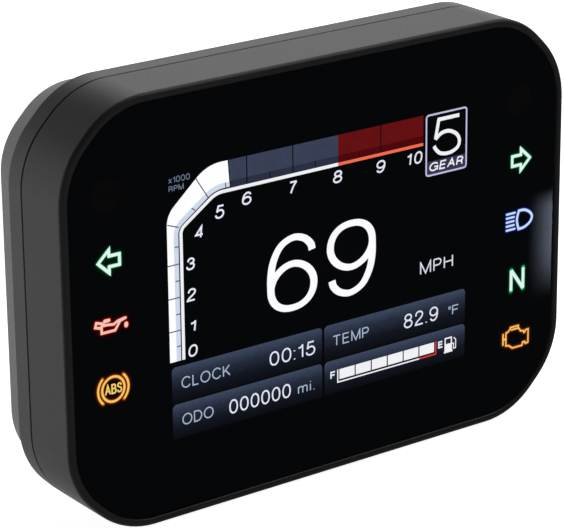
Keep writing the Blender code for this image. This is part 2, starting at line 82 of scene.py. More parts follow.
def named(start):
    """The CAD nodes whose names begin with start."""
    return [node for node in NODES if node.startswith(start)]


HALF_WIDTH, PARTING, HALF_HEIGHT = corners_mm("front_bezel")[1]
LENS_FRONT, LENS_BACK = (corner[1] for corner in corners_mm("front_lens"))
LENS_INSET = HALF_WIDTH - corners_mm("front_lens")[1][0]
MOUNT_FACE = -FRONT_Y / MM
GAP, SEAM_CHAMFER = 0.3, 0.1
CORNER_CUT, CORNER_BLEND, CORNER_STEPS = 11.6, 16.9, 12
CUT_PER_INSET = 2 - math.sqrt(2)

# Points and loops


def at(x, depth, z):
    return Vector((x * MM, FRONT_Y + depth * MM, z * MM))


def cut_outline(half_w, half_h, cut, blend, steps):
    """(x, z) points round a rectangle whose corners are cut at 45 degrees, then blended."""
    tangent = blend * math.tan(math.pi / 8)
    corner = []
    for centre, start in (((-blend, -cut - tangent), 0.0), ((-cut - tangent, -blend), math.pi / 4)):
        for i in range(steps + 1):
            angle = start + i / steps * math.pi / 4
            corner.append((centre[0] + blend * math.cos(angle), centre[1] + blend * math.sin(angle)))
    if math.dist(corner[steps], corner[steps + 1]) < 0.01:
        corner.pop(steps)
    points = []
    for side_x, side_z in ((1, 1), (-1, 1), (-1, -1), (1, -1)):
        turn = corner if side_x * side_z > 0 else corner[::-1]
        points += [(side_x * (half_w + x), side_z * (half_h + z)) for x, z in turn]
    return points


def case_outline(inset):
    """The case's outline, moved inwards by the same distance all the way round."""
    return cut_outline(
        HALF_WIDTH - inset,
        HALF_HEIGHT - inset,
        CORNER_CUT - CUT_PER_INSET * inset,
        CORNER_BLEND - inset,
        CORNER_STEPS,
    )


def round_outline(half_w, half_h, radius, steps=4):
    return cut_outline(half_w, half_h, CUT_PER_INSET * radius, radius, steps)


def circle_outline(radius, count=48):
    turns = [2 * math.pi * i / count for i in range(count)]
    return [(radius * math.cos(t), radius * math.sin(t)) for t in turns]


def loop(outline, depth, centre=(0.0, 0.0)):
    return [at(centre[0] + x, depth, centre[1] + z) for x, z in outline]


def case_loops(section):
    """Loops round the case for the (inset, depth) points of its section."""
    return [loop(case_outline(inset), depth) for inset, depth in section]


def arc(inset, depth, radius, start, end, steps=8):
    """(inset, depth) points of a rounded edge in a section, angles in degrees."""
    turns = [math.radians(start + (end - start) * i / steps) for i in range(steps + 1)]
    return [(inset + radius * math.cos(t), depth + radius * math.sin(t)) for t in turns]


# Materials


class Shader:
    """A node-based material: a Principled shader and short ways to feed it."""

    def __init__(self, name, colour, roughness, metallic=0.0, **sockets):
        self.material = bpy.data.materials.new(name)
        self.material.use_nodes = True
        self.tree = self.material.node_tree
        self.main = self.tree.nodes["Principled BSDF"]
        self.main.inputs["Base Color"].default_value = (*colour, 1)
        self.main.inputs["Roughness"].default_value = roughness
        self.main.inputs["Metallic"].default_value = metallic
        for socket, value in sockets.items():
            self.main.inputs[socket.replace("_", " ")].default_value = value
        self.place = self.tree.nodes.new("ShaderNodeTexCoord").outputs["Object"]

    def node(self, kind, inputs=(), **settings):
        made = self.tree.nodes.new("ShaderNode" + kind)
        for key, value in settings.items():
            setattr(made, key, value)
        for socket, value in dict(inputs).items():
            if isinstance(value, bpy.types.NodeSocket):
                self.tree.links.new(value, made.inputs[socket])
            else:
                made.inputs[socket].default_value = value
        return made

    def noise(self, size, detail=2.0, stretch=(1, 1, 1)):
        """Noise whose features are about size millimetres across."""
        scaled = self.node("Mapping", {"Vector": self.place, "Scale": stretch}).outputs["Vector"]
        inputs = {"Vector": scaled, "Scale": 1 / (size * MM), "Detail": detail}
        return self.node("TexNoise", inputs).outputs["Fac"]

    def spread(self, value, low, high, from_low=0.0, from_high=1.0):
        """A value between from_low and from_high, spread between low and high."""
        inputs = {"Value": value, "To Min": low, "To Max": high}
        inputs.update({"From Min": from_low, "From Max": from_high})
        return self.node("MapRange", inputs).outputs["Result"]

    def blend(self, value, *colours):
        """Colours evenly spaced along a value."""
        made = self.node("ValToRGB", {"Fac": value})
        ramp = made.color_ramp
        while len(ramp.elements) < len(colours):
            ramp.elements.new(0.5)
        for i, colour in enumerate(colours):
            ramp.elements[i].position = i / (len(colours) - 1)
            ramp.elements[i].color = (*colour, 1)
        return made.outputs["Color"]

    def feed(self, socket, value):
        self.tree.links.new(value, self.main.inputs[socket])

    def bump(self, *layers):
        """Adds (height value, millimetres high) layers of bump."""
        normal = None
        for value, height in layers:
            inputs = {"Height": value, "Distance": height * MM, "Strength": 1.0}
            if normal is not None:
                inputs["Normal"] = normal
            normal = self.node("Bump", inputs).outputs["Normal"]
        self.feed("Normal", normal)


def scaled(colour, factor):
    return tuple(min(part * factor, 1.0) for part in colour)


def moulded(name, colour, roughness, grain=0.35, height=0.02, spread=0.12):
    """Spark-eroded matt plastic: two sizes of grain, and a slow change of tone and gloss."""
    shader = Shader(name, colour, roughness, Specular_IOR_Level=0.5)
    slow, fine = shader.noise(14.0), shader.noise(grain, detail=3.0)
    shader.feed("Base Color", shader.blend(slow, scaled(colour, 0.85), scaled(colour, 1.2)))
    shader.feed("Roughness", shader.spread(fine, roughness - spread, roughness + spread))
    shader.bump((fine, height), (shader.noise(grain * 3), height))
    return shader.material


def make_materials():
    mouldings = {
        "bezel_plastic": ((0.013, 0.013, 0.0135), 0.48, {}),
        "rear_plastic": ((0.026, 0.026, 0.026), 0.46, {}),
        "header_plastic": ((0.014, 0.014, 0.015), 0.42, {"height": 0.01}),
        "vent_plastic": ((0.030, 0.030, 0.032), 0.55, {}),
        "switch_body": ((0.030, 0.030, 0.030), 0.45, {"height": 0.008}),
        "white_plastic": ((0.70, 0.70, 0.68), 0.45, {"height": 0.01}),
        "button_rubber": ((0.022, 0.022, 0.023), 0.68, {"height": 0.012}),
        "silicone": ((0.018, 0.018, 0.018), 0.6, {"grain": 0.8}),
        "foam": ((0.030, 0.030, 0.030), 0.95, {"grain": 0.5, "height": 0.15, "spread": 0.04}),
        "chip": ((0.016, 0.016, 0.017), 0.55, {"grain": 0.15}),
        "led": ((0.80, 0.76, 0.55), 0.3, {"height": 0.004}),
        "film": ((0.06, 0.06, 0.065), 0.35, {"height": 0.003}),
    }
    made = {name: moulded(name, *base, **finish) for name, (*base, finish) in mouldings.items()}

    lens = Shader("lens_plastic", (1.0, 1.0, 1.0), 0.01, Transmission_Weight=1.0, IOR=1.49)
    lens.feed("Roughness", lens.spread(lens.noise(9.0, detail=4.0), 0.0, 0.02))
    made["lens_plastic"] = lens.material

    print_black = Shader("black_print", (0.0012, 0.0014, 0.0022), 0.6, Specular_IOR_Level=0.0)
    print_black.main.inputs["Emission Color"].default_value = (0.0013, 0.0016, 0.0021, 1)
    print_black.main.inputs["Emission Strength"].default_value = 1.0
    shades = (0.0009, 0.0010, 0.0017), (0.0015, 0.0017, 0.0026)
    print_black.feed("Base Color", print_black.blend(print_black.noise(12.0), *shades))
    made["black_print"] = print_black.material

    glass = Shader("panel_glass", (0.010, 0.010, 0.016), 0.06, Specular_IOR_Level=0.5)
    glass.feed("Base Color", glass.blend(glass.noise(20.0), (0.008, 0.008, 0.012), (0.014, 0.014, 0.022)))
    made["panel_glass"] = glass.material

    acrylic = Shader("clear_acrylic", (0.86, 0.90, 0.92), 0.12, Transmission_Weight=0.9, IOR=1.49)
    acrylic.feed("Roughness", acrylic.spread(acrylic.noise(2.0), 0.06, 0.2))
    made["clear_acrylic"] = acrylic.material

    board = Shader("board", (0.010, 0.110, 0.040), 0.38, Specular_IOR_Level=0.5)
    tracks = board.node("TexWave", {"Vector": board.place, "Scale": 160.0, "Distortion": 6.0, "Detail": 3.0})
    line = board.spread(tracks.outputs["Fac"], 0.0, 1.0, 0.60, 0.72)
    board.feed("Base Color", board.blend(line, (0.008, 0.085, 0.030), (0.020, 0.160, 0.060)))
    board.bump((line, 0.03))
    made["board"] = board.material

    ribbon = Shader("ribbon", (0.55, 0.27, 0.05), 0.38)
    stripes = ribbon.node("TexWave", {"Vector": ribbon.place, "Scale": 1000.0})
    line = ribbon.spread(stripes.outputs["Fac"], 0.0, 1.0, 0.45, 0.55)
    ribbon.feed("Base Color", ribbon.blend(line, (0.50, 0.22, 0.03), (0.66, 0.36, 0.10)))
    made["ribbon"] = ribbon.material

    metals = {
        "pressed_steel": ((0.55, 0.55, 0.55), 0.34, (1, 1, 30)),
        "zinc_steel": ((0.60, 0.61, 0.58), 0.30, (1, 1, 1)),
        "brass": ((0.76, 0.54, 0.22), 0.30, (1, 12, 1)),
        "contact": ((0.74, 0.72, 0.66), 0.24, (1, 20, 1)),
        "capacitor_can": ((0.68, 0.68, 0.70), 0.28, (1, 20, 1)),
    }
    for name, (colour, roughness, stretch) in metals.items():
        metal = Shader(name, colour, roughness, metallic=1.0)
        brushed = metal.noise(0.6, detail=4.0, stretch=stretch)
        metal.feed("Roughness", metal.spread(brushed, roughness - 0.12, roughness + 0.16))
        metal.feed("Base Color", metal.blend(metal.noise(3.0), scaled(colour, 0.82), scaled(colour, 1.08)))
        metal.bump((brushed, 0.006))
        made[name] = metal.material
    return made


MATERIALS = make_materials()


def srgb(red, green, blue):
    """A display colour in 0-255 as linear light."""
    parts = (part / 255 for part in (red, green, blue))
    return tuple(p / 12.92 if p <= 0.04045 else ((p + 0.055) / 1.055) ** 2.4 for p in parts)


def glow(name, colour, strength=1.0, unevenness=0.08):
    """A lit part of the display, or the faint painted glow of an unlit one: its light changes a little from
    place to place.
    """
    shader = Shader(name, (0.001, 0.001, 0.001), 0.6, Emission_Strength=strength, Specular_IOR_Level=0.0)
    uneven = shader.noise(2.5, detail=1.0)
    dim = scaled(colour, 1 - unevenness)
    shader.feed("Emission Color", shader.blend(uneven, dim, scaled(colour, 1.0)))
    return shader.material


# Solids


def finish_piece(name, mesh, material, smooth_angle=30):
    """Turns a bmesh into an object, smooth but for its edges sharper than smooth_angle."""
    bmesh.ops.recalc_face_normals(mesh, faces=mesh.faces)
    data = bpy.data.meshes.new(name)
    mesh.to_mesh(data)
    mesh.free()
    data.shade_smooth()
    data.set_sharp_from_angle(angle=math.radians(smooth_angle))
    data.materials.append(material)
    piece = bpy.data.objects.new(name, data)
    bpy.context.scene.collection.objects.link(piece)
    return piece


def loft(name, loops, material, closed=False):
    """A solid skinned over loops of points. A closed one is a ring, an open one has end caps."""
    mesh = bmesh.new()
    rings = [[mesh.verts.new(point) for point in points] for points in loops]
    for first, second in zip(rings, rings[1:] + rings[:1] if closed else rings[1:]):
        for i in range(len(first)):
            j = (i + 1) % len(first)
            mesh.faces.new((first[i], first[j], second[j], second[i]))
    if not closed:
        mesh.faces.new(rings[0])
        mesh.faces.new(reversed(rings[-1]))
    return finish_piece(name, mesh, material)


def turned(name, profile, centre, material, closed=False, count=48):
    """A solid turned from the (radius, depth) points of a profile."""
    loops = [loop(circle_outline(radius, count), depth, centre) for radius, depth in profile]
    return loft(name, loops, material, closed)


def plate(name, outline, front, back, material, centre=(0.0, 0.0)):
    return loft(name, [loop(outline, depth, centre) for depth in (front, back)], material)


def boolean(piece, others, operation):
    """Adds a boolean for each of the others, which settle() then removes."""
    for other in others:
        modifier = piece.modifiers.new(other.name, "BOOLEAN")
        modifier.operation = operation
        modifier.object = other
        modifier.solver = "EXACT"


def settle(piece, smooth_angle=30):
    """Replaces the piece's mesh by what its modifiers make of it, and removes the helpers."""
    helpers = [modifier.object for modifier in piece.modifiers if modifier.type == "BOOLEAN"]
    graph = bpy.context.evaluated_depsgraph_get()
    data = bpy.data.meshes.new_from_object(piece.evaluated_get(graph))
    piece.modifiers.clear()
    piece.data = data
    data.shade_smooth()
    data.set_sharp_from_angle(angle=math.radians(smooth_angle))
    while len(data.materials) > 1:
        data.materials.pop()
    for helper in helpers:
        bpy.data.objects.remove(helper, do_unlink=True)


def even_normals(piece):
    """Lets large flat faces set the shading where they meet a rounded edge."""
    modifier = piece.modifiers.new("even_normals", "WEIGHTED_NORMAL")
    modifier.keep_sharp = True


def ride(piece, slot, *nodes, body=CASE):
    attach(piece, body)
    if nodes:
        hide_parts(*nodes)


# Flat drawing on the window

PRINT_DEPTH = LENS_BACK - 0.25  # the black print behind the window, which the drawing stands on
LAYER = 0.02  # each layer of the drawing stands this far in front of the one below


def rounded(points, closed=False, steps=8):
    """A path of (x, z) or (x, z, radius) points, with an arc of that radius at each corner."""
    path = []
    for i, point in enumerate(points):
        here = Vector(point[:2])
        ends = not closed and i in (0, len(points) - 1)
        if ends or len(point) < 3 or point[2] == 0:
            path.append(tuple(here))
            continue
        before = Vector(points[i - 1][:2]) - here
        after = Vector(points[(i + 1) % len(points)][:2]) - here
        turn = math.pi - before.angle(after)
        reach = point[2] * math.tan(turn / 2)
        start, end = here + before.normalized() * reach, here + after.normalized() * reach
        inward = (before.normalized() + after.normalized()).normalized()
        middle = here + inward * (point[2] / math.cos(turn / 2))
        for step in range(steps + 1):
            spoke = (start - middle).lerp(end - middle, step / steps)
            path.append(tuple(middle + spoke.normalized() * point[2]))
    return path


def curve(points, steps=8):
    """A smooth curve through (x, z) points."""
    last = len(points) - 1
    path = []
    for i in range(last):
        a, b, c, d = (Vector(points[min(max(n, 0), last)]) for n in (i - 1, i, i + 1, i + 2))
        for step in range(steps):
            t = step / steps
            path.append(tuple(0.5 * (2 * b + (c - a) * t + (2 * a - 5 * b + 4 * c - d) * t**2
                                     + (3 * b - a - 3 * c + d) * t**3)))
    return path + [tuple(points[-1])]


def ellipse(centre, half_w, half_h, start=0.0, end=360.0, steps=32, square=1.0):
    """Points on an ellipse. square under 1 fills its corners out."""
    points = []
    for i in range(steps + (end - start < 360)):
        turn = math.radians(start + (end - start) * i / steps)
        c, s = math.cos(turn), math.sin(turn)
        x, z = math.copysign(abs(c) ** square, c), math.copysign(abs(s) ** square, s)
        points.append((centre[0] + half_w * x, centre[1] + half_h * z))
    return points


def ribbon(path, width, closed=False, ends="flat", joints="mitred"):
    """Shapes that cover a line of the given width along a path."""
    points = [Vector(p) for p in path]
    if closed:
        points.append(points[0])
    half, sharpest = width / 2, 0.35
    runs = [(b - a).normalized() for a, b in zip(points, points[1:])]
    sides = [Vector((-run.y, run.x)) * half for run in runs]
    shapes = [[a + side, a - side, b - side, b + side] for a, b, side in zip(points, points[1:], sides)]
    turns = list(zip(points[1:], sides, sides[1:]))
    if closed:
        turns.append((points[0], sides[-1], sides[0]))
    for here, before, after in turns:
        if joints == "round" and before.dot(after) < 0.8 * half * half:
            shapes.append([Vector(p) for p in ellipse(here, half, half, steps=16)])
            continue
        outward = -1 if before.cross(after) > 0 else 1
        middle = (before + after).normalized()
        tip = middle * (half / max(middle.dot(after) / half, sharpest))
        shapes.append([here] + [here + offset * outward for offset in (before, tip, after)])
    if ends == "round" and not closed:
        shapes += [[Vector(p) for p in ellipse(points[i], half, half, steps=16)] for i in (0, -1)]
    smallest = 1e-7
    return [[tuple(p) for p in shape] for shape in shapes if abs(turned_area(shape)) > smallest]


def turned_area(shape):
    """The shape's area, negative when its points run clockwise."""
    return sum(a[0] * b[1] - b[0] * a[1] for a, b in zip(shape, shape[1:] + shape[:1])) / 2


def widened(shapes, factor, centre_x):
    """Shapes stretched sideways about centre_x."""
    return [[(centre_x + (x - centre_x) * factor, z) for x, z in shape] for shape in shapes]


def half_turned(shapes, centre, moved_to):
    """Shapes turned half round, with the point centre moved to moved_to."""
    return [[(moved_to[0] - x + centre[0], moved_to[1] - z + centre[1]) for x, z in s] for s in shapes]


def bar(low_x, high_x, low_z, high_z):
    return [(low_x, low_z), (high_x, low_z), (high_x, high_z), (low_x, high_z)]


def holds(shape, point):
    """Whether the point is inside the shape."""
    crossed = 0
    for a, b in zip(shape, shape[1:] + shape[:1]):
        if (a.y > point.y) != (b.y > point.y):
            crossed += point.x < a.x + (b.x - a.x) * (point.y - a.y) / (b.y - a.y)
    return crossed % 2 == 1


def united(shapes):
    """Points and triangles that cover all the shapes once. A triangle that the triangulation
    counts in a shape without lying in it is left out."""
    points, faces = [], []
    for shape in shapes:
        ordered = shape if turned_area(shape) > 0 else shape[::-1]
        faces.append(list(range(len(points), len(points) + len(ordered))))
        points += [Vector(p) for p in ordered]
    every_triangle, closest = 0, 1e-5
    result = geometry.delaunay_2d_cdt(points, [], faces, every_triangle, closest)
    corners, covered = result[0], []
    for face, shapes_there in zip(result[2], result[5]):
        middle = sum((corners[i] for i in face), Vector((0, 0))) / len(face)
        if any(holds([points[i] for i in faces[shape]], middle) for shape in shapes_there):
            covered.append(list(face))
    return corners, covered


def drawn(name, shapes, layer, material):
    """A thin plate on the print behind the window that covers the shapes."""
    points, faces = united(shapes)
    front, back = PRINT_DEPTH - layer * LAYER, PRINT_DEPTH + LAYER / 2
    mesh = bmesh.new()
    near = [mesh.verts.new(at(p.x, front, p.y)) for p in points]
    far = [mesh.verts.new(at(p.x, back, p.y)) for p in points]
    edges = {}
    for face in faces:
        mesh.faces.new([near[i] for i in face])
        mesh.faces.new([far[i] for i in reversed(face)])
        for a, b in zip(face, face[1:] + face[:1]):
            edges[(a, b)] = True
    for a, b in edges:
        if (b, a) not in edges:
            mesh.faces.new((near[b], near[a], far[a], far[b]))
    loose = [vertex for vertex in mesh.verts if not vertex.link_faces]
    bmesh.ops.delete(mesh, geom=loose, context="VERTS")
    ride(finish_piece(name, mesh, material, smooth_angle=20), "lens_plastic")


def lit(name, shapes, layer, colour, strength=1.0, unevenness=0.08):
    """A drawn plate with a light of its own."""
    drawn(name, shapes, layer, glow(name, colour, strength, unevenness))


def letters():
    """Centre lines of the letters, 100 units high: (width, [(path, closed), ...]) by character."""
    six_bowl = ellipse((31, 31), 31, 31, steps=24)
    six_hook = [(0, 33), (1, 58), (8, 82), (21, 97), (35, 100), (50, 94), (58, 80)]
    six = [(six_bowl, True), (curve(six_hook), False)]
    nine = [([(62 - x, 100 - z) for x, z in path], shut) for path, shut in six]
    two = curve([(3, 68), (7, 88), (20, 99), (36, 100), (52, 93), (59, 77), (55, 62),
                 (40, 45), (20, 29), (6, 14), (1, 0)])
    three_top = curve([(4, 72), (8, 90), (22, 100), (40, 99), (54, 88), (56, 73), (47, 58), (24, 54)])
    three_foot = curve([(24, 54), (50, 50), (62, 36), (62, 20), (52, 6), (32, 0),
                        (13, 4), (2, 15), (0, 29)])
    five_bowl = curve([(7, 50), (17, 60), (33, 64), (51, 58), (61, 42), (61, 24),
                       (51, 7), (32, 0), (14, 3), (3, 14), (0, 26)])
    seven_stem = curve([(62, 100), (46, 78), (32, 50), (22, 20), (18, 0)])
    top_bowl = rounded([(0, 100), (60, 100, 26), (60, 46, 26), (0, 46)])
    s_shape = curve([(57, 74), (50, 93), (30, 100), (11, 93), (5, 77), (13, 62), (32, 54),
                     (51, 45), (61, 28), (54, 8), (32, 0), (8, 7), (0, 27)])
    m_arch = curve([(0, 46), (7, 66), (22, 72), (35, 66), (39, 50), (39, 0)])
    open_paths = {
        "1": (30, [(30, 0), (30, 100)], curve([(0, 78), (14, 80), (25, 88), (30, 100)])),
        "2": (62, two + [(62, 0)]),
        "3": (62, three_top, three_foot),
        "4": (64, [(47, 0), (47, 100), (0, 27), (64, 27)]),
        "5": (62, [(57, 100), (15, 100), (7, 50)], five_bowl),
        "7": (62, [(0, 100), (62, 100)], seven_stem),
        "C": (86, ellipse((46, 50), 46, 50, 35, 325)),
        "L": (56, [(0, 100), (0, 0), (56, 0)]),
        "K": (70, [(0, 0), (0, 100)], [(66, 100), (0, 36)], [(22, 57), (70, 0)]),
        "T": (74, [(0, 100), (74, 100)], [(37, 100), (37, 0)]),
        "E": (62, [(60, 100), (0, 100), (0, 0), (62, 0)], [(0, 52), (56, 52)]),
        "F": (56, [(56, 100), (0, 100), (0, 0)], [(0, 51), (50, 51)]),
        "M": (84, [(0, 0), (0, 100), (42, 2), (84, 100), (84, 0)]),
        "P": (60, [(0, 0), (0, 100)], top_bowl),
        "R": (66, [(0, 0), (0, 100)], top_bowl, [(36, 46), (56, 36), (64, 0)]),
        "G": (92, ellipse((46, 50), 46, 50, 35, 330), [(50, 48), (90, 48), (90, 0)]),
        "A": (78, [(0, 0), (39, 100), (78, 0)], [(14, 36), (64, 36)]),
        "H": (70, [(0, 0), (0, 100)], [(70, 0), (70, 100)], [(0, 53), (70, 53)]),
        "S": (61, s_shape),
        "m": (78, [(0, 0), (0, 72)], m_arch, [(x + 39, z) for x, z in m_arch]),
        "i": (2, [(0, 0), (0, 72)], [(0, 94), (0, 102)]),
        "x": (50, [(0, 0), (50, 72)], [(50, 0), (0, 72)]),
        ".": (2, [(0, -3), (0, 5)]),
        ":": (2, [(0, -3), (0, 5)], [(0, 62), (0, 70)]),
    }
    known = {key: (width, [(path, False) for path in paths]) for key, (width, *paths) in open_paths.items()}
    known["0"] = (62, [(ellipse((31, 50), 31, 50, square=0.9), True)])
    known["6"] = (62, six)
    known["9"] = (62, nine)
    rings = ellipse((31, 77), 26, 23), ellipse((31, 27), 31, 27)
    known["8"] = (62, [(ring, True) for ring in rings])
    known["O"] = (96, [(ellipse((48, 50), 48, 50), True)])
    d_shape = [(0, 0), (0, 100), (78, 100, 48), (78, 0, 48)]
    known["D"] = (78, [(rounded(d_shape, True), True)])
    low, high = [(0, 53), (56, 53, 23)], [(56, 100, 23), (0, 100)]
    foot = [(0, 0), (62, 0, 26), (62, 53, 26), (0, 53)]
    known["B"] = (62, [(rounded(low + high, True), True), (rounded(foot, True), True)])
    return known


LETTERS = letters()


def written(name, text, box, layer, material, pen=0.3, slant=0.0, gap=30):
    """Letters drawn with a round-nosed pen, fitted to a box of (low x, high x, low z, high z)."""
    low_x, high_x, low_z, high_z = box
    height = high_z - low_z - pen
    total = sum(LETTERS[letter][0] for letter in text) + gap * (len(text) - 1)
    unit = (high_x - low_x - pen - slant * height) / total
    strokes, start = [], 0.0
    for letter in text:
        width, paths = LETTERS[letter]
        for path, closed in paths:
            placed = []
            for x, z in path:
                rise = z / 100 * height
                placed.append((low_x + pen / 2 + (start + x) * unit + slant * rise, low_z + pen / 2 + rise))
            strokes += ribbon(placed, pen, closed)
        start += width + gap
    drawn(name, strokes, layer, material)


# Case


def make_bezel():
    lip_radius, lip_width, edge = 0.9, 1.6, 0.35
    ledge, ledge_front, ledge_back = 5.35, 3.5, 5.0
    wall, rebate, rebate_front = 2.0, 1.0, 11.6
    section = arc(lip_radius, lip_radius, lip_radius, 180, 270)
    section += arc(lip_width - edge, edge, edge, 270, 360, steps=4)
    section += [(lip_width, ledge_front), (ledge, ledge_front), (ledge, ledge_back), (wall, ledge_back)]
    section += [(wall, rebate_front), (rebate, rebate_front), (rebate, PARTING)]
    section += [(SEAM_CHAMFER, PARTING), (0.0, PARTING - SEAM_CHAMFER)]
    bezel = loft("front_frame", case_loops(section), MATERIALS["bezel_plastic"], closed=True)
    even_normals(bezel)
    ride(bezel, "bezel_plastic", "front_bezel")


def make_window():
    edge, clear = 0.25, 0.05
    section = arc(LENS_INSET + edge, LENS_FRONT + edge, edge, 270, 180, steps=4)
    section += [(LENS_INSET, LENS_BACK - clear)]
    window = loft("display_window", case_loops(section), MATERIALS["lens_plastic"])
    even_normals(window)
    ride(window, "lens_plastic", "front_lens")
    outline = case_outline(LENS_INSET + clear)
    ride(plate("window_print", outline, PRINT_DEPTH, LENS_BACK, MATERIALS["black_print"]), "lens_plastic")


def make_rear_case():
    seam, wall = PARTING + GAP, 2.2
    step, taper, cavity, back_edge = 0.7, math.radians(18), 5.1, 1.6
    band_back, band_edge = 17.9, 0.5
    case_back = corners_mm("rear_housing")[1][1] - 2.0
    cavity_back, beyond = case_back - wall, case_back + 1
    tongue_out, tongue_in, tongue_front = 2.3, 3.7, 10.0
    section = [(cavity, cavity_back), (cavity, seam), (tongue_in, seam), (tongue_in, tongue_front)]
    section += [(tongue_out, tongue_front), (tongue_out, seam)]
    section += [(SEAM_CHAMFER, seam), (0.0, seam + SEAM_CHAMFER)]
    section += arc(band_edge, band_back - band_edge, band_edge, 180, 90, steps=5)
    section += [(step, band_back)]
    turn_depth = case_back - back_edge
    taper_run = turn_depth + back_edge * math.sin(taper) - band_back
    turn_inset = step + taper_run * math.tan(taper) + back_edge * math.cos(taper)
    section += arc(turn_inset, turn_depth, back_edge, 180 - math.degrees(taper), 90, steps=12)
    plastic = MATERIALS["rear_plastic"]
    case = loft("rear_case", case_loops(section), plastic)

    inside, pad_edge = cavity_back + 1, 0.4
    pad = [(0.0, case_back - 1), (0.0, MOUNT_FACE - pad_edge), (pad_edge, MOUNT_FACE)]
    pad_loops = [loop(round_outline(32.0 - i, 19.0 - i, 4.0 - i, steps=8), depth) for i, depth in pad]
    joined, cuts = [loft("mounting_pad", pad_loops, plastic)], []

    def post(node, radius, front):
        joined.append(plate("post", circle_outline(radius), front, inside, plastic, centre_mm(node)))

    def bore(node, radius, front, back):
        cuts.append(plate("bore", circle_outline(radius), front, back, plastic, centre_mm(node)))

    def flared(node, radius, front):
        """A hole from a depth out through the back, with a chamfered mouth."""
        profile = [(radius, front), (radius, case_back - 0.3)]
        profile += [(radius + 0.4, case_back + 0.1), (radius + 0.4, beyond)]
        cuts.append(turned("flared", profile, centre_mm(node), plastic))

    for node in named("mounting_insert"):
        post(node, 5.0, 19.9)
        bore(node, 3.4, 21.1, MOUNT_FACE + 1)
    for node in named("case_screw"):
        post(node, 3.7, seam)
        bore(node, 1.55, seam - 1, 17.0)
        flared(node, 2.8, 16.0)
    for node in ("select_button", "adjust_button"):
        post(node, 6.0, 23.1)
        flared(node, 4.5, 22.1)
    bore("breather_vent", 2.5, cavity_back - 1, beyond)
    window = round_outline(15.3, 6.3, 1.5)
    cuts.append(plate("window", window, cavity_back - 1, beyond, plastic, centre_mm("connector_seal")))
    boolean(case, joined, "UNION")
    boolean(case, cuts, "DIFFERENCE")
    settle(case)
    even_normals(case)
    ride(case, "rear_plastic", "rear_housing")


def make_screws():
    around, head, head_height, shank, length, turns = 36, 2.4, 1.8, 1.25, 8.0, 14
    hexagon = []
    for i in range(around):
        turn = 2 * math.pi * i / around
        from_flat = (turn + math.pi / 6) % (math.pi / 3) - math.pi / 6
        hexagon.append((math.cos(turn) / math.cos(from_flat), math.sin(turn) / math.cos(from_flat)))
    for node in named("case_screw"):
        centre = centre_mm(node)
        back = corners_mm(node)[1][1]
        seat = back - head_height
        socket = [(0.97, seat + 0.7), (1.0, back - 0.15), (1.12, back)]
        loops = [loop([(x * r, z * r) for x, z in hexagon], d, centre) for r, d in socket]
        profile = arc(head - 0.5, back - 0.5, 0.5, 90, 0, steps=6) + [(head, seat)]
        for i in range(turns):
            depth = seat - i * (length - 1) / turns
            profile += [(shank, depth), (shank - 0.18, depth - 0.25)]
        profile += [(shank - 0.5, seat - length)]
        loops += [loop(circle_outline(r, around), d, centre) for r, d in profile]
        piece = loft(node.replace("case_screw", "housing_screw"), loops, MATERIALS["zinc_steel"])
        ride(piece, "zinc_steel", node)


def make_inserts():
    """Brass inserts: knurled outside, with a real helical thread in the bore."""
    pitch, around, per_turn = 0.8, 36, 4
    for node in named("mounting_insert"):
        centre = centre_mm(node)
        low, high = corners_mm(node)
        front, back, radius, bore = low[1], high[1], (high[0] - low[0]) / 2, 2.1
        rows = int((back - front - 0.6) / pitch * per_turn)
        loops = []
        for row in range(rows + 1):
            depth = front + 0.3 + row * pitch / per_turn
            ring = []
            for i in range(around):
                turn = 2 * math.pi * i / around
                phase = (row / per_turn + i / around) % 1.0
                reach = bore + 0.3 * abs(2 * phase - 1)
                ring.append((reach * math.cos(turn), reach * math.sin(turn)))
            loops.append(loop(ring, depth, centre))
        loops.append(loop(circle_outline(bore + 0.45, around), back, centre))
        middle = (front + back) / 2
        outside = [(radius - 0.25, back), (radius, back - 0.25), (radius, middle + 0.5)]
        outside += [(radius - 0.35, middle + 0.5), (radius - 0.35, middle - 0.5), (radius, middle - 0.5)]
        outside += [(radius, front + 0.3), (radius - 0.3, front)]
        for reach, depth in outside:
            knurl = 0.1 if reach == radius and depth < back - 1 else 0.0
            shrink = [1 - knurl * (i % 2) / reach for i in range(around)]
            ring = [(x * by, z * by) for (x, z), by in zip(circle_outline(reach, around), shrink)]
            loops.append(loop(ring, depth, centre))
        loops.append(loop(circle_outline(bore + 0.3, around), front, centre))
        name = node.replace("mounting", "threaded")
        ride(loft(name, loops, MATERIALS["brass"], closed=True), "brass", node)


def make_buttons():
    for side in ("select", "adjust"):
        node = f"{side}_button"
        centre = centre_mm(node)
        back = corners_mm(node)[1][1]
        profile = [(2.6, 20.4), (5.4, 20.4), (5.4, 21.9), (4.2, 21.9), (4.2, 24.1), (3.3, 24.1)]
        profile += [(3.3, 25.5), (4.2, 25.5)] + arc(3.6, back - 0.6, 0.6, 0, 90, steps=6)
        profile += [(3.2, back), (2.9, back - 0.12), (2.2, back - 0.28), (1.2, back - 0.35)]
        cap = turned(f"{side}_key", profile, centre, MATERIALS["button_rubber"])
        ride(cap, "button_rubber", node, body=f"{side}_button_body")

        section = ellipse((3.8, 24.8), 0.4, 0.4, steps=12)
        seal = turned(f"{side}_key_seal", section, centre, MATERIALS["silicone"], closed=True)
        ride(seal, "silicone", f"{side}_button_seal", body=f"{side}_button_body")


